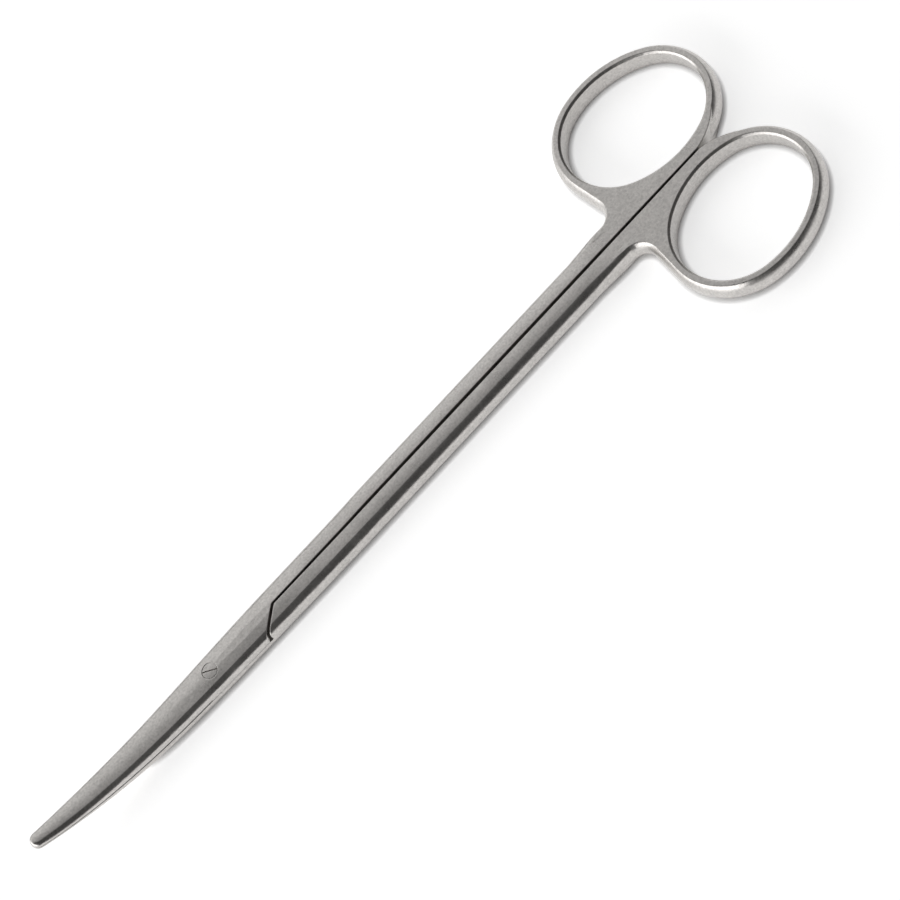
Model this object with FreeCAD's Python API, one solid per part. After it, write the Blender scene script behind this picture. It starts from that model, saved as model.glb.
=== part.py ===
import FreeCAD, Part
import math
import os

# Long curved dissecting scissors, closed, lying on a table with the curved tips in the air.
# Two forged halves are lapped over each other and turn on one slotted screw.
# All lengths are millimetres and all angles degrees. While the model is built, the screw's
# axis is X = Y = 0, the table is Z = 0 and the tips point along +X. The half whose finger
# ring lies on +Y carries the lower blade, and the half on -Y carries the upper one.

# Forging: rings, shanks and joint are ground flat above and below to one thickness
THICKNESS = 4.38
GROUND_FRONT = 5.0

# Closed bar: distance ahead of the screw, width, thickness, crown radius, shoulder radius.
# The shanks keep the first section, and the bar tapers from there to the tips
STATIONS = (
    (-40.0, 8.06, 4.386, 15.7, 1.60),
    (-17.0, 7.66, 4.386, 15.3, 1.43),
    (0.0, 6.96, 4.386, 14.3, 1.20),
    (17.5, 5.82, 4.06, 11.5, 1.10),
    (26.0, 5.22, 3.40, 10.1, 1.05),
    (34.5, 4.40, 2.54, 7.9, 1.00),
    (41.75, 3.08, 2.08, 5.1, 0.80),
)
BEND_START = 6.5
BEND_RADIUS = 122.0

# Towards the rings the crowned top of the shanks turns flat and their shoulders sharpen
FLAT_START = 94.0
FLAT_FULL = 100.0
SHANK_REAR = 106.0
FLAT_CROWN = 150.0
FLAT_SHOULDER = 1.0

# Lap joint: each half's shank stops at a slanting wall where the other half crosses it
STEP_START = 16.0
STEP_RUN = 1.28
STEP_GAP = 0.3
STEP_BLUNT_WIDTH = 3.7
RIDE_GAP = 0.03

# Hollow grinding of the inner faces ahead of the screw
RELIEF_START = 3.4
RELIEF_TILT = 1.7
RELIEF_HALF_WIDTH = 3.5
UPPER_GRIND_RADIUS = 123.7
LOWER_GRIND_RADIUS = 120.3

# Seam between the shanks, widest half way along
SEAM_GAP_JOINT = 0.42
SEAM_GAP_MIDDLE = 0.6
SEAM_GAP_RINGS = 0.44
SEAM_MIDDLE = 64.0

# Finger rings: opening between its straight walls, radii of its two ends, wall at half
# height, how far the outer side bulges, and the bevel of the inner edges. The crotch's
# centre lies CROTCH_AHEAD in front of the opening
RING_BACK = 120.89
RING_OUT = 14.45
RING_TURN = 10.38
OPENING_LENGTH = 28.27
OPENING_WIDTH = 23.35
OPENING_FRONT_RADIUS = 11.18
OPENING_REAR_RADIUS = 10.73
RING_WALL = 2.265
RING_BULGE = 0.97
RING_BEVEL = 0.4
CROTCH_RADIUS = 2.9
CROTCH_AHEAD = 4.455
CROTCH_OUT = 7.2
NOSE_RADIUS = 1.2
LAND_RADIUS = 13.0
LAND_SWEEP = 52.0

# Screw: slotted head in the upper half, neck turning in it, end riveted in the lower half
HEAD_RADIUS = 1.45
HEAD_DEPTH = 1.2
NECK_RADIUS = 1.0
SCREW_CLEARANCE = 0.07
SLOT_WIDTH = 0.24
SLOT_DEPTH = 0.4
SLOT_ANGLE = -34.0

# Reach of the cutting shapes past the part
FAR = 30.0

MIDDLE = THICKNESS / 2


def vec(x, y, z=0.0):
    return FreeCAD.Vector(x, y, z)


def line(start, end):
    return Part.LineSegment(start, end).toShape()


def arc(start, through, end):
    return Part.Arc(start, through, end).toShape()


def facing(angle):
    """Unit direction in plan for an angle in radians."""
    return vec(math.cos(angle), math.sin(angle))


def angle_of(vector):
    return math.atan2(vector.y, vector.x)


def prism(edges, bottom, height):
    """Solid that stands on a closed plan outline."""
    face = Part.Face(Part.Wire(edges))
    face.translate(vec(0, 0, bottom))
    return face.extrude(vec(0, 0, height))


def polygon(points):
    return [line(a, b) for a, b in zip(points, points[1:] + points[:1])]


# Bar: the two closed halves as one body, before they are parted

def bar_section(width, thickness, crown, shoulder):
    """Closed section in the YZ plane: crowned top, rounded shoulders, upright flanks."""
    w, h = width / 2, thickness / 2
    rise = math.sqrt((crown - shoulder) ** 2 - (w - shoulder) ** 2)
    turn = math.asin((w - shoulder) / (crown - shoulder))
    flank = h - crown + rise
    half_turn = (turn + math.pi / 2) / 2

    def crown_point(side, up):
        return vec(0, side * crown * math.sin(turn), up * (h - crown + crown * math.cos(turn)))

    def shoulder_middle(side, up):
        y = w - shoulder + shoulder * math.sin(half_turn)
        return vec(0, side * y, up * (flank + shoulder * math.cos(half_turn)))

    def flank_point(side, up):
        return vec(0, side * w, up * flank)

    edges = []
    for up in (1, -1):
        edges.append(arc(crown_point(-up, up), vec(0, 0, up * h), crown_point(up, up)))
        edges.append(arc(crown_point(up, up), shoulder_middle(up, up), flank_point(up, up)))
        edges.append(line(flank_point(up, up), flank_point(up, -up)))
        edges.append(arc(flank_point(up, -up), shoulder_middle(up, -up), crown_point(up, -up)))
    return Part.Wire(edges)


def on_centreline(distance):
    """Place of a section on the middle line, which is straight and then curves up."""
    turn = max(0.0, distance - BEND_START) / BEND_RADIUS
    x = min(distance, BEND_START) + BEND_RADIUS * math.sin(turn)
    z = MIDDLE + BEND_RADIUS * (1 - math.cos(turn))
    return FreeCAD.Placement(vec(x, 0, z), FreeCAD.Rotation(vec(0, 1, 0), -math.degrees(turn)))


def placed_section(station):
    wire = bar_section(*station[1:])
    wire.Placement = on_centreline(station[0])
    return wire


def tip_cap():
    """Round end of the blades: the last section turned about its own upright axis."""
    distance, *sizes = STATIONS[-1]
    face = Part.Face(bar_section(*sizes))
    right = face.common(Part.makeBox(FAR, FAR, FAR, vec(-FAR / 2, 0, -FAR / 2)))
    cap = right.Faces[0].revolve(vec(0, 0, 0), vec(0, 0, 1), -180)
    cap.Placement = on_centreline(distance)
    return cap


def closed_bar():
    sections = [placed_section(station) for station in STATIONS]
    front, width, thickness = STATIONS[0][:3]
    shank = Part.Face(sections[0]).extrude(vec(-FLAT_START - front, 0, 0))
    crowned = placed_section((-FLAT_START, *STATIONS[0][1:]))
    flat = placed_section((-FLAT_FULL, width, thickness, FLAT_CROWN, FLAT_SHOULDER))
    change = Part.makeLoft([flat, crowned], True, True)
    web = Part.Face(flat).extrude(vec(FLAT_FULL - SHANK_REAR, 0, 0))
    bar = shank.fuse([change, web, Part.makeLoft(sections, True, False), tip_cap()])
    for bottom in (THICKNESS, -FAR):
        corner = vec(-SHANK_REAR, -FAR / 2, bottom)
        bar = bar.cut(Part.makeBox(SHANK_REAR + GROUND_FRONT, FAR, FAR, corner))
    return bar


# Finger ring of the +Y half

def ring_place(x, y):
    """Point of the ring's own plan, with its long axis along x, in the part's plan."""
    turn = math.radians(RING_TURN)
    return vec(-RING_BACK + x * math.cos(turn) - y * math.sin(turn),
               RING_OUT + x * math.sin(turn) + y * math.cos(turn))


def ring_oval():
    """Centres and radii of the four tangent arcs of the opening: front, rear, two sides."""
    half_width = OPENING_WIDTH / 2
    front_x = OPENING_LENGTH / 2 - OPENING_FRONT_RADIUS
    rear_x = OPENING_REAR_RADIUS - OPENING_LENGTH / 2
    p = half_width - OPENING_FRONT_RADIUS
    q = half_width - OPENING_REAR_RADIUS
    a = 1 / p - 1 / q
    b = 2 * rear_x / q - 2 * front_x / p
    c = front_x ** 2 / p + OPENING_FRONT_RADIUS - rear_x ** 2 / q - OPENING_REAR_RADIUS
    root = math.sqrt(b * b - 4 * a * c)
    side_x = min(((-b + root) / (2 * a), (-b - root) / (2 * a)), key=abs)
    side_radius = ((side_x - front_x) ** 2 / p + OPENING_FRONT_RADIUS + half_width) / 2
    side_y = side_radius - half_width
    return {
        "front": (ring_place(front_x, 0), OPENING_FRONT_RADIUS),
        "rear": (ring_place(rear_x, 0), OPENING_REAR_RADIUS),
        "outer": (ring_place(side_x, -side_y), side_radius),
        "inner": (ring_place(side_x, side_y), side_radius),
    }


def oval_turns(grow):
    """The oval's arcs grown outwards, each by its centre, radius and directions at its ends."""
    oval = ring_oval()

    def meet(side, end):
        return angle_of(oval[end][0] - oval[side][0]) % (2 * math.pi)

    ends = {
        "front": (meet("inner", "front") - 2 * math.pi, meet("outer", "front")),
        "outer": (meet("outer", "front"), meet("outer", "rear")),
        "rear": (meet("outer", "rear"), meet("inner", "rear")),
        "inner": (meet("inner", "rear"), meet("inner", "front")),
    }
    return [(oval[name][0], oval[name][1] + grow, *ends[name]) for name in ends]


def seam_touch():
    """Point of the ring's outer outline that lies nearest to the seam."""
    centre, radius = ring_oval()["inner"]
    return centre - vec(0, radius + RING_WALL)


def shared_facing(convex, radius, hollow, hollow_radius, side):
    """Direction faced by the straight line that joins a convex arc and a hollow one."""
    across = hollow - convex
    return angle_of(across) + side * math.acos((radius + hollow_radius) / across.Length)


def web_turns():
    """Arcs of the ring and web outline at half height. A hollow arc has a negative radius."""
    front, outer, rear, inner = oval_turns(RING_WALL)
    nose = vec(-FLAT_FULL, STATIONS[0][1] / 2 - NOSE_RADIUS)
    crotch = vec(CROTCH_AHEAD + OPENING_LENGTH / 2 - RING_BACK, CROTCH_OUT)
    slant = shared_facing(nose, NOSE_RADIUS, crotch, CROTCH_RADIUS, -1)
    flare = shared_facing(front[0], front[1], crotch, CROTCH_RADIUS, 1)
    return [
        (nose, NOSE_RADIUS, -math.pi / 2, slant),
        (crotch, -CROTCH_RADIUS, slant, flare),
        (front[0], front[1], flare, front[3]),
        outer,
        rear,
        (inner[0], inner[1], inner[2], 1.5 * math.pi),
    ]


def turn_end(turn, grow, which):
    return turn[0] + (turn[1] + grow) * facing(turn[which])


def outline(turns, grow):
    """Closed plan outline through the arcs grown outwards, with lines between them."""
    edges = []
    for turn, following in zip(turns, turns[1:] + turns[:1]):
        middle = turn[0] + (turn[1] + grow) * facing((turn[2] + turn[3]) / 2)
        last = turn_end(turn, grow, 3)
        edges.append(arc(turn_end(turn, grow, 2), middle, last))
        if (turn_end(following, grow, 2) - last).Length > 1e-5:
            edges.append(line(last, turn_end(following, grow, 2)))
    return edges


def bulge_profile(point, direction):
    """Upright segment of a circle that bulges out to a point of the outline."""
    chord = point - RING_BULGE * direction
    foot = vec(chord.x, chord.y, 0)
    top = vec(chord.x, chord.y, THICKNESS)
    crest = vec(point.x, point.y, MIDDLE)
    return Part.Face(Part.Wire([arc(foot, crest, top), line(top, foot)]))


def bulged_sides(turns):
    """The bulge turned round the arcs of the outline and drawn along its lines.

    The nose and the line beside the seam lie inside the shank and need none.
    """
    arcs = turns[1:]
    sides = []
    for turn in arcs:
        profile = bulge_profile(turn_end(turn, 0, 2), facing(turn[2]))
        sides.append(profile.revolve(turn[0], vec(0, 0, 1), math.degrees(turn[3] - turn[2])))
    for turn, following in zip(turns, arcs):
        run = turn_end(following, 0, 2) - turn_end(turn, 0, 3)
        if run.Length > 1e-5:
            sides.append(bulge_profile(turn_end(turn, 0, 3), facing(turn[3])).extrude(run))
    return sides


def ring_plate():
    """Ring and web with the round crotch: flat lands inside a bulging outer side."""
    turns = web_turns()
    return prism(outline(turns, -RING_BULGE), 0, THICKNESS).fuse(bulged_sides(turns))


def flat_edges(solid):
    """Edges that lie in the top or the bottom plane."""
    found = []
    for edge in solid.Edges:
        box = edge.BoundBox
        level = min(abs(box.ZMin), abs(box.ZMin - THICKNESS))
        if box.ZLength < 1e-4 and level < 1e-4:
            found.append(edge)
    return found


def seam_land():
    """Flat sharp-edged land beside the seam, where the two rings meet."""
    start = vec(seam_touch().x, 0)
    centre = start + vec(0, LAND_RADIUS)
    last = -math.pi / 2 - math.radians(LAND_SWEEP)
    end = centre + LAND_RADIUS * facing(last)
    inside = vec(-SHANK_REAR - 4, end.y)
    front = vec(-SHANK_REAR + 10, 0)
    middle = centre + LAND_RADIUS * facing((last - math.pi / 2) / 2)
    edges = [line(front, start), arc(start, middle, end), line(end, inside), line(inside, front)]
    return prism(edges, 0, THICKNESS)


def finger_ring():
    opening = prism(outline(oval_turns(0), 0), -1, THICKNESS + 2)
    body = ring_plate().fuse(seam_land()).cut(opening).removeSplitter()
    radii = [radius for _, radius in ring_oval().values()]
    rim = [edge for edge in flat_edges(body)
           if hasattr(edge.Curve, "Radius") and min(abs(edge.Curve.Radius - r) for r in radii) < 1e-4]
    return body.makeChamfer(RING_BEVEL, rim)


# Parting of the bar into two halves. side is +1 for the lower half and -1 for the upper one

def mirrored(shape, side):
    if side > 0:
        return shape
    return shape.mirror(vec(0, 0, 0), vec(0, 1, 0))


def other_side(side):
    """All that lies beyond the seam, up to the wall where this half crosses over."""
    touch = -seam_touch().x
    joint = vec(-STEP_START, SEAM_GAP_JOINT / 2)
    middle = vec(-SEAM_MIDDLE, SEAM_GAP_MIDDLE / 2)
    rings = vec(-touch, SEAM_GAP_RINGS / 2)
    behind = vec(-touch - FAR, SEAM_GAP_RINGS / 2)
    wall_start = vec(-STEP_START + STEP_GAP / 2, SEAM_GAP_JOINT / 2)
    wall_end = wall_start + FAR * vec(STEP_RUN, -1)
    corner = vec(-touch - FAR, wall_end.y)
    edges = [arc(joint, middle, rings), line(rings, behind), line(behind, corner),
             line(corner, wall_end), line(wall_end, wall_start), line(wall_start, joint)]
    return mirrored(prism(edges, -FAR, 3 * FAR), side)


def ahead_of_shank(side):
    """Plan region ahead of the blunted wall in which this half's own shank ends."""
    start = vec(-STEP_START - STEP_GAP / 2, SEAM_GAP_JOINT / 2)
    blunt = start + (STEP_BLUNT_WIDTH - start.y) * vec(STEP_RUN, 1)
    points = [start, blunt, vec(blunt.x, FAR), vec(3 * FAR, FAR), vec(3 * FAR, -FAR),
              vec(start.x, -FAR)]
    return mirrored(prism(polygon(points), -FAR, 3 * FAR), side)


def far_side_of_face(side):
    """All that lies past this half's inner face: the flat ride and the hollow grinding."""
    level = MIDDLE - side * RIDE_GAP / 2
    bottom = level if side > 0 else level - FAR
    ride = Part.makeBox(FAR + RELIEF_START, FAR, FAR, vec(-FAR, -FAR / 2, bottom))
    radius = LOWER_GRIND_RADIUS if side > 0 else UPPER_GRIND_RADIUS
    turn = math.radians(25)

    def on_grind(angle):
        return vec(BEND_START + radius * math.sin(angle), -FAR / 2,
                   level + radius * (1 - math.cos(angle)))

    start = vec(RELIEF_START, -FAR / 2, level)
    bend = on_grind(0)
    end = on_grind(turn)
    shift = vec(0, 0, side * FAR)
    edges = [line(start, bend), arc(bend, on_grind(turn / 2), end), line(end, end + shift),
             line(end + shift, start + shift), line(start + shift, start)]
    grind = Part.Face(Part.Wire(edges)).extrude(vec(0, FAR, 0))
    grind.rotate(vec(0, side * RELIEF_HALF_WIDTH, level), vec(1, 0, 0), RELIEF_TILT)
    return ride.fuse(grind)


def half(side, bar):
    body = bar.fuse(mirrored(finger_ring(), side)).removeSplitter()
    body = body.cut(other_side(side))
    return body.cut(ahead_of_shank(side).common(far_side_of_face(side)))


# Screw and its holes

def cylinder(radius, bottom, top):
    return Part.makeCylinder(radius, top - bottom, vec(0, 0, bottom))


def screw(bar):
    head_seat = THICKNESS - HEAD_DEPTH
    body = cylinder(NECK_RADIUS, -1, head_seat).fuse(cylinder(HEAD_RADIUS, head_seat, THICKNESS + 1))
    body = body.removeSplitter().common(bar)
    slot = Part.makeBox(2 * FAR, SLOT_WIDTH, FAR, vec(-FAR, -SLOT_WIDTH / 2, THICKNESS - SLOT_DEPTH))
    slot.rotate(vec(0, 0, 0), vec(0, 0, 1), SLOT_ANGLE)
    return body.cut(slot)


def upper_holes():
    seat = THICKNESS - HEAD_DEPTH - SCREW_CLEARANCE
    neck = cylinder(NECK_RADIUS + SCREW_CLEARANCE, -1, seat)
    return neck.fuse(cylinder(HEAD_RADIUS + SCREW_CLEARANCE, seat, THICKNESS + 1))


def main():
    bar = closed_bar()
    parts = {
        "lower_half": half(1, bar).cut(cylinder(NECK_RADIUS, -1, THICKNESS + 1)),
        "upper_half": half(-1, bar).cut(upper_holes()),
        "pivot_screw": screw(bar),
    }
    points = [point for shape in parts.values() for point in shape.tessellate(0.01)[0]]
    ends = min(p.x for p in points), max(p.x for p in points)
    origin = vec(-sum(ends) / 2, 0, 0)
    os.makedirs("parts", exist_ok=True)
    for name, shape in parts.items():
        shape.translate(origin)
        shape.exportStep(os.path.join("parts", name + ".step"))
        print(name, "solids", len(shape.Solids), "valid", shape.isValid(),
              "volume %.1f mm3" % shape.Volume)
    print("pivot axis at x %.3f, overall length %.2f mm" % (origin.x, ends[1] - ends[0]))


main()
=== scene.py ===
import math

import bpy
from bpy.props import FloatProperty, FloatVectorProperty, PointerProperty
from mathutils import Matrix, Vector


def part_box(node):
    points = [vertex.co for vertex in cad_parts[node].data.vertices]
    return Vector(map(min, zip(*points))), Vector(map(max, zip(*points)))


# Curved dissecting scissors in satin steel, lying on a white table.
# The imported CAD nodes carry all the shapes. This script gives them their finish, and
# sets the table, the lamps and the camera. Lengths are metres.

bl_info = {
    "name": "Dissecting scissors looks",
    "version": (1, 0, 0),
    "blender": (4, 5, 0),
    "location": "3D View > Sidebar > Scissors",
    "description": "Finishes the scissors in satin steel and sets the table, lamps and camera",
    "category": "Object",
}

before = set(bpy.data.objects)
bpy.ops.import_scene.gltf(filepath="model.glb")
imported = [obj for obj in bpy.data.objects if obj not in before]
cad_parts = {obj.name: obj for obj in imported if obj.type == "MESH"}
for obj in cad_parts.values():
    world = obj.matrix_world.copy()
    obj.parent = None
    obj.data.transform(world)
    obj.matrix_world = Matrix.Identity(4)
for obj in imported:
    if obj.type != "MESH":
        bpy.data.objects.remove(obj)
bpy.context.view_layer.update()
screw_low, screw_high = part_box("pivot_screw")
PIVOT = Vector(((screw_low.x + screw_high.x) / 2, (screw_low.y + screw_high.y) / 2, 0.0))

# How far behind the screw's axis the crown of each shank is nil and has its full height,
# near the joint and near the rings
CROWN_FRONT = (0.017, 0.030)
CROWN_REAR = (0.102, 0.092)

# Size of the clouds in the finish per metre, and of the brushing marks along and across
CLOUD_SCALE = 260.0
BRUSHING_SCALE = (90.0, 2600.0, 2600.0)

# Distance of the lamps, and the four roof strips that fade to the zenith: elevation of each
# in degrees and its share of their power
LAMP_DISTANCE = 1.5
ROOF_STRIPS = ((50.0, 0.386), (58.0, 0.289), (66.0, 0.198), (74.0, 0.127))

# Point on the table at which the camera looks, seen from the screw's axis
AIM = Vector((-0.056422, 0.002298, 0.0))


class ScissorsFinish(bpy.types.PropertyGroup):
    steel_colour: FloatVectorProperty(
        name="Steel colour", description="Colour of the steel where it mirrors white",
        default=(0.586, 0.566, 0.545), size=3, min=0.0, max=1.0, subtype="COLOR")
    roughness: FloatProperty(
        name="Roughness", description="How far the satin finish blurs what it mirrors",
        default=0.30, min=0.0, max=1.0, subtype="FACTOR")
    grain_size: FloatProperty(
        name="Grain size", description="Size of the dimples that the satin blasting leaves",
        default=0.00042, min=0.00005, max=0.002, subtype="DISTANCE", unit="LENGTH")
    grain_depth: FloatProperty(
        name="Grain depth", description="Depth of those dimples",
        default=0.000003, min=0.0, max=0.0001, precision=7, subtype="DISTANCE", unit="LENGTH")
    edge_width: FloatProperty(
        name="Edge width", description="Radius to which tumbling rounds the sharp edges",
        default=0.00024, min=0.0, max=0.001, precision=5, subtype="DISTANCE", unit="LENGTH")
    screw_edge_width: FloatProperty(
        name="Screw edge width", description="Radius of the crisper edges of the screw",
        default=0.00006, min=0.0, max=0.001, precision=5, subtype="DISTANCE", unit="LENGTH")
    crown_dip: FloatProperty(
        name="Crown dip", description="Slope of each shank's own crown beside the seam",
        default=math.radians(5.0), subtype="ANGLE", unit="ROTATION")
    crown_reach: FloatProperty(
        name="Crown reach", description="From the seam to the crest of each shank's crown",
        default=0.0038, min=0.0001, subtype="DISTANCE", unit="LENGTH")


class ScissorsStudio(bpy.types.PropertyGroup):
    table_colour: FloatVectorProperty(
        name="Table colour", description="Colour of the white table",
        default=(0.93, 0.93, 0.93), size=3, min=0.0, max=1.0, subtype="COLOR")
    table_size: FloatProperty(
        name="Table size", description="Length of the table's sides",
        default=8.0, min=0.5, subtype="DISTANCE", unit="LENGTH")
    table_glow: FloatProperty(
        name="Table glow", description="Whiteness that the camera and mirroring metal see on top",
        default=0.67, min=0.0, max=1.0)
    # Reach of the painted contact shadow, which darkens the table's glow near the steel
    painted_shadow_reach: FloatProperty(
        name="Contact reach", description="How far from the steel the glow fades out",
        default=0.0011, min=0.0, subtype="DISTANCE", unit="LENGTH")
    room_light: FloatProperty(
        name="Room light", description="Light that comes from the whole dim room",
        default=0.075, min=0.0, max=2.0)
    back_power: FloatProperty(
        name="Back lamp", description="Power of the wide softbox behind the scissors",
        default=7.5, min=0.0, subtype="POWER", unit="POWER")
    roof_power: FloatProperty(
        name="Roof lamps", description="Power of the four strips above the back softbox together",
        default=2.93, min=0.0, subtype="POWER", unit="POWER")
    side_power: FloatProperty(
        name="Side lamp", description="Power of the softbox beyond the blade tips",
        default=20.0, min=0.0, subtype="POWER", unit="POWER")
    camera_distance: FloatProperty(
        name="Camera distance", description="From the camera to the aim point on the table",
        default=0.56001, min=0.1, subtype="DISTANCE", unit="LENGTH")
    camera_tilt: FloatProperty(
        name="Camera tilt", description="How far the view leans from straight down",
        default=math.radians(33.07), subtype="ANGLE", unit="ROTATION")
    camera_turn: FloatProperty(
        name="Camera turn", description="How far the camera stands off the line across the shanks",
        default=math.radians(0.11), subtype="ANGLE", unit="ROTATION")
    camera_roll: FloatProperty(
        name="Camera roll", description="How far the picture is turned about the view",
        default=math.radians(-46.91), subtype="ANGLE", unit="ROTATION")
    camera_lens: FloatProperty(
        name="Camera lens", description="Focal length on a 36 mm wide picture",
        default=128.62, min=10.0, subtype="DISTANCE_CAMERA", unit="CAMERA")


def finish():
    return bpy.context.scene.scissors_finish


def studio():
    return bpy.context.scene.scissors_studio


class NodeBoard:
    """A material's node tree, with short calls to add and join nodes."""

    def __init__(self, name):
        self.material = bpy.data.materials.new(name)
        self.material.use_nodes = True
        self.nodes = self.material.node_tree.nodes
        self.links = self.material.node_tree.links
        self.shader = self.nodes["Principled BSDF"]

    def add(self, kind, values=None, **settings):
        node = self.nodes.new(kind)
        for key, value in settings.items():
            setattr(node, key, value)
        for key, value in (values or {}).items():
            if isinstance(value, bpy.types.NodeSocket):
                self.links.new(value, node.inputs[key])
            else:
                node.inputs[key].default_value = value
        return node

    def join(self, output, key):
        self.links.new(output, self.shader.inputs[key])


def fade(board, value, start, full):
    """0 before one value and 1 past the other, with a smooth change between."""
    band = board.add("ShaderNodeMapRange", {"Value": value, "From Min": start, "From Max": full},
                     interpolation_type="SMOOTHSTEP")
    return band.outputs["Result"]


def own_crown(board, place):
    """Relief of the shanks: each half is ground to a crown of its own, falling to the seam.

    Its height is x - x * x / (2 * reach) at a distance x from the seam, times its slope there.
    """
    look = finish()
    part = board.add("ShaderNodeSeparateXYZ", {"Vector": place}).outputs
    out = board.add("ShaderNodeMath", {0: part["Y"]}, operation="ABSOLUTE").outputs["Value"]
    reach = board.add("ShaderNodeMath", {0: out, 1: look.crown_reach}, operation="MINIMUM")
    square = board.add("ShaderNodeMath", {0: reach.outputs["Value"], 1: 2.0}, operation="POWER")
    bend = board.add("ShaderNodeMath", {0: square.outputs["Value"], 1: -0.5 / look.crown_reach,
                                        2: reach.outputs["Value"]}, operation="MULTIPLY_ADD")
    front = fade(board, part["X"], *(PIVOT.x - behind for behind in CROWN_FRONT))
    rear = fade(board, part["X"], *(PIVOT.x - behind for behind in CROWN_REAR))
    shank = board.add("ShaderNodeMath", {0: front, 1: rear}, operation="MULTIPLY")
    height = board.add("ShaderNodeMath", {0: bend.outputs["Value"], 1: shank.outputs["Value"]},
                       operation="MULTIPLY")
    return board.add("ShaderNodeBump", {"Height": height.outputs["Value"], "Strength": 1.0,
                                        "Distance": math.tan(look.crown_dip)})


def satin_steel(name, shade, edge_width):
    """Satin-blasted stainless steel: fine dimples, faint brushing and rounded edges."""
    look = finish()
    board = NodeBoard(name)
    place = board.add("ShaderNodeTexCoord").outputs["Object"]
    grain = board.add("ShaderNodeTexNoise", {"Vector": place, "Scale": 1 / look.grain_size,
                                             "Detail": 3.0, "Roughness": 0.6})
    mottle = board.add("ShaderNodeTexNoise", {"Vector": place, "Scale": CLOUD_SCALE,
                                              "Detail": 4.0, "Roughness": 0.55})
    stretch = board.add("ShaderNodeMapping", {"Vector": place, "Scale": BRUSHING_SCALE})
    brushing = board.add("ShaderNodeTexNoise", {"Vector": stretch.outputs["Vector"], "Scale": 1.0,
                                                "Detail": 2.0, "Roughness": 0.5})
    # colour: cloudiness and speckle about the steel's own colour
    cloud = board.add("ShaderNodeMapRange", {"Value": mottle.outputs["Fac"], "From Min": 0.3,
                                             "From Max": 0.7, "To Min": 0.94, "To Max": 1.05})
    speckle = board.add("ShaderNodeMapRange", {"Value": grain.outputs["Fac"], "From Min": 0.25,
                                               "From Max": 0.75, "To Min": 0.78, "To Max": 1.2})
    tone = board.add("ShaderNodeMath", {0: cloud.outputs["Result"], 1: speckle.outputs["Result"]},
                     operation="MULTIPLY")
    steel = [channel * shade for channel in look.steel_colour]
    colour = board.add("ShaderNodeVectorMath", {0: steel, "Scale": tone.outputs["Value"]},
                       operation="SCALE")
    # roughness: blotches of the blasting
    rough = board.add("ShaderNodeMapRange", {"Value": mottle.outputs["Fac"], "From Min": 0.3,
                                             "From Max": 0.7, "To Min": look.roughness - 0.04,
                                             "To Max": look.roughness + 0.05})
    # relief: rounded edges, the shanks' own crowns, then brushing, then dimples
    edge = board.add("ShaderNodeBevel", {"Radius": edge_width}, samples=8)
    crowned = own_crown(board, place)
    board.links.new(edge.outputs["Normal"], crowned.inputs["Normal"])
    brushed = board.add("ShaderNodeBump", {"Height": brushing.outputs["Fac"],
                                           "Normal": crowned.outputs["Normal"],
                                           "Strength": 0.5, "Distance": look.grain_depth * 0.5})
    dimpled = board.add("ShaderNodeBump", {"Height": grain.outputs["Fac"],
                                           "Normal": brushed.outputs["Normal"],
                                           "Strength": 1.0, "Distance": look.grain_depth})
    board.join(colour.outputs["Vector"], "Base Color")
    board.join(rough.outputs["Result"], "Roughness")
    board.join(dimpled.outputs["Normal"], "Normal")
    board.shader.inputs["Metallic"].default_value = 1.0
    return board.material


def dress(node_name, material):
    """Gives a CAD node its finish."""
    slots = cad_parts[node_name].data.materials
    slots.clear()
    slots.append(material)


class SCISSORS_OT_halves(bpy.types.Operator):
    """Finish the two forged halves in satin steel"""
    bl_idname = "scissors.halves"
    bl_label = "Finish the halves"

    def execute(self, context):
        edge = finish().edge_width
        dress("lower_half", satin_steel("satin steel of the lower half", 1.0, edge))
        dress("upper_half", satin_steel("satin steel of the upper half", 1.0, edge))
        return {"FINISHED"}


class SCISSORS_OT_screw(bpy.types.Operator):
    """Finish the slotted pivot screw"""
    bl_idname = "scissors.screw"
    bl_label = "Finish the screw"

    def execute(self, context):
        edge = finish().screw_edge_width
        dress("pivot_screw", satin_steel("turned steel of the screw", 0.97, edge))
        return {"FINISHED"}


def softbox(name, azimuth, elevation, size, power):
    """Lamp panel that faces the scissors from a direction given in degrees."""
    across, height = math.radians(azimuth), math.radians(elevation)
    outward = Vector((math.cos(height) * math.cos(across), math.cos(height) * math.sin(across),
                      math.sin(height)))
    lamp = bpy.data.lights.new(name, "AREA")
    lamp.shape = "RECTANGLE"
    lamp.size, lamp.size_y = size
    lamp.energy = power
    holder = bpy.data.objects.new(name, lamp)
    turned = (-outward).to_track_quat("-Z", "Y").to_matrix().to_4x4()
    holder.matrix_world = Matrix.Translation(LAMP_DISTANCE * outward) @ turned
    bpy.context.scene.collection.objects.link(holder)


def seen_or_mirrored(board):
    """1 for rays from the camera and for mirrored and refracted ones, 0 for the rest."""
    path = board.add("ShaderNodeLightPath").outputs
    mirrored = board.add("ShaderNodeMath", {0: path["Is Camera Ray"], 1: path["Is Glossy Ray"]},
                         operation="MAXIMUM")
    every = board.add("ShaderNodeMath", {0: mirrored.outputs["Value"],
                                         1: path["Is Transmission Ray"]}, operation="MAXIMUM")
    return every.outputs["Value"]


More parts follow.
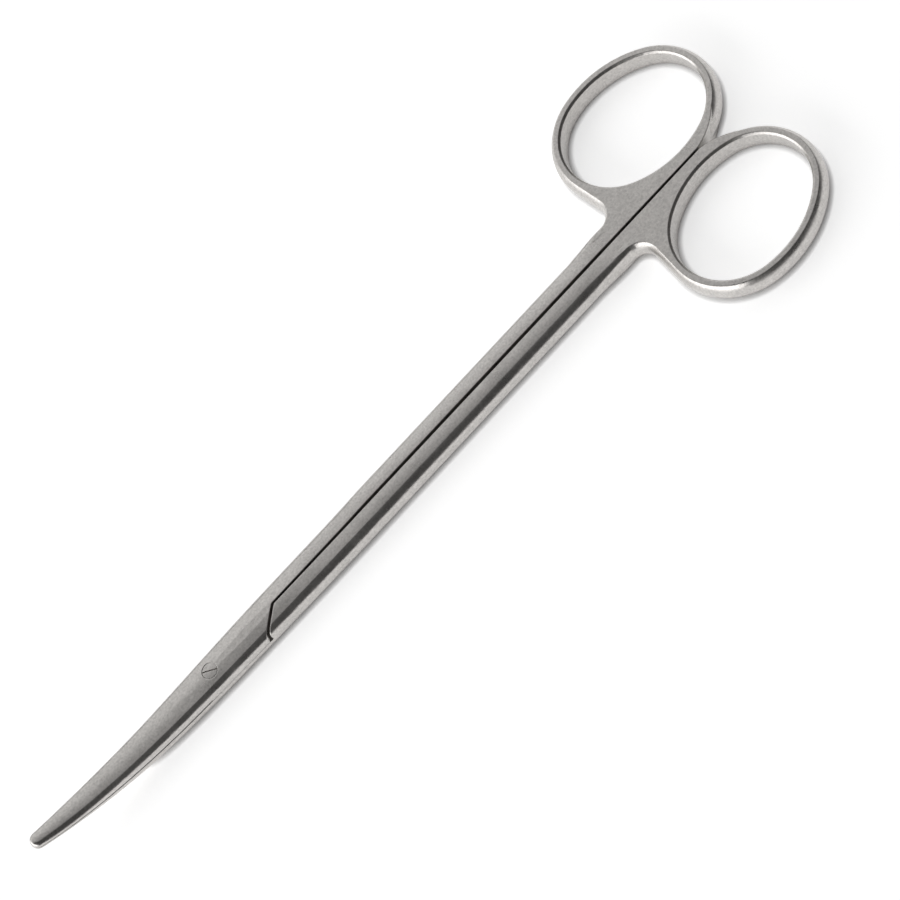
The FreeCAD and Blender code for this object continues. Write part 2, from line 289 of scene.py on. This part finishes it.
def table_surface(name):
    """White table that keeps the lamps' shadow; close to the steel its glow is darkened, a painted
    contact shadow.
    """
    board = NodeBoard(name)
    place = board.add("ShaderNodeTexCoord").outputs["Object"]
    fibre = board.add("ShaderNodeTexNoise", {"Vector": place, "Scale": 900.0, "Detail": 3.0})
    relief = board.add("ShaderNodeBump", {"Height": fibre.outputs["Fac"], "Strength": 0.1,
                                          "Distance": 0.00001})
    # Painted contact shadow: squared ambient occlusion darkens the table's glow within a short
    # reach of the steel
    painted_shadow_ao = board.add("ShaderNodeAmbientOcclusion", {"Distance": studio().painted_shadow_reach},
                         samples=12)
    painted_contact_shadow = board.add("ShaderNodeMath", {0: painted_shadow_ao.outputs["AO"], 1: 2.0}, operation="POWER")
    glow_with_painted_shadow = board.add("ShaderNodeMath", {0: painted_contact_shadow.outputs["Value"], 1: studio().table_glow},
                     operation="MULTIPLY")
    shown = board.add("ShaderNodeMath", {0: glow_with_painted_shadow.outputs["Value"], 1: seen_or_mirrored(board)},
                      operation="MULTIPLY")
    board.join(relief.outputs["Normal"], "Normal")
    board.join(shown.outputs["Value"], "Emission Strength")
    board.shader.inputs["Base Color"].default_value = (*studio().table_colour, 1.0)
    board.shader.inputs["Emission Color"].default_value = (1.0, 1.0, 1.0, 1.0)
    board.shader.inputs["Roughness"].default_value = 0.8
    board.shader.inputs["Specular IOR Level"].default_value = 0.0
    return board.material


class SCISSORS_OT_stage(bpy.types.Operator):
    """Set the white table, the soft light and the camera"""
    bl_idname = "scissors.stage"
    bl_label = "Set the stage"

    def execute(self, context):
        self.lay_table()
        self.hang_lamps()
        self.set_camera()
        return {"FINISHED"}

    def lay_table(self):
        bpy.ops.mesh.primitive_plane_add(size=studio().table_size, location=(0.0, 0.0, 0.0))
        table = bpy.context.object
        table.name = "table"
        table.data.materials.append(table_surface("white table"))

    def hang_lamps(self):
        world = bpy.data.worlds.new("grey room")
        world.use_nodes = True
        light = studio().room_light
        world.node_tree.nodes["Background"].inputs["Color"].default_value = (1.0, 1.0, 1.0, 1.0)
        world.node_tree.nodes["Background"].inputs["Strength"].default_value = light
        bpy.context.scene.world = world
        softbox("back softbox", -90.0, 29.0, (3.0, 0.9), studio().back_power)
        for elevation, share in ROOF_STRIPS:
            softbox("roof strip %d" % elevation, -90.0, elevation, (2.4, 0.21),
                    share * studio().roof_power)
        softbox("side softbox", 0.0, 17.0, (3.0, 0.9), studio().side_power)

    def set_camera(self):
        tilt, turn, roll = studio().camera_tilt, studio().camera_turn, studio().camera_roll
        back = Vector((math.sin(tilt) * math.sin(turn), math.sin(tilt) * math.cos(turn),
                       math.cos(tilt)))
        right = Vector((-1.0, 0.0, 0.0))
        right = (right - right.dot(back) * back).normalized()
        up = back.cross(right)
        across = math.cos(roll) * right + math.sin(roll) * up
        upward = math.cos(roll) * up - math.sin(roll) * right
        place = PIVOT + AIM + studio().camera_distance * back
        lens = bpy.data.cameras.new("camera")
        lens.lens = studio().camera_lens
        lens.sensor_width = 36.0
        lens.clip_start = 0.01
        camera = bpy.data.objects.new("camera", lens)
        turned = Matrix((across, upward, back)).transposed().to_4x4()
        camera.matrix_world = Matrix.Translation(place) @ turned
        bpy.context.scene.collection.objects.link(camera)
        bpy.context.scene.camera = camera


class SCISSORS_PT_panel(bpy.types.Panel):
    bl_idname = "SCISSORS_PT_panel"
    bl_label = "Dissecting scissors"
    bl_space_type = "VIEW_3D"
    bl_region_type = "UI"
    bl_category = "Scissors"

    def draw(self, context):
        for title, group in (("Finish", finish()), ("Studio", studio())):
            box = self.layout.box()
            box.label(text=title)
            for name in group.__annotations__:
                box.prop(group, name)
        for operator in OPERATORS:
            self.layout.operator(operator.bl_idname)


OPERATORS = (SCISSORS_OT_halves, SCISSORS_OT_screw, SCISSORS_OT_stage)
CLASSES = (ScissorsFinish, ScissorsStudio) + OPERATORS + (SCISSORS_PT_panel,)


def register():
    for item in CLASSES:
        bpy.utils.register_class(item)
    bpy.types.Scene.scissors_finish = PointerProperty(type=ScissorsFinish)
    bpy.types.Scene.scissors_studio = PointerProperty(type=ScissorsStudio)


def unregister():
    del bpy.types.Scene.scissors_studio
    del bpy.types.Scene.scissors_finish
    for item in reversed(CLASSES):
        bpy.utils.unregister_class(item)


def main():
    register()
    bpy.context.scene.view_settings.view_transform = "Standard"
    bpy.ops.scissors.halves()
    bpy.ops.scissors.screw()
    bpy.ops.scissors.stage()


if __name__ == "__main__":
    main()
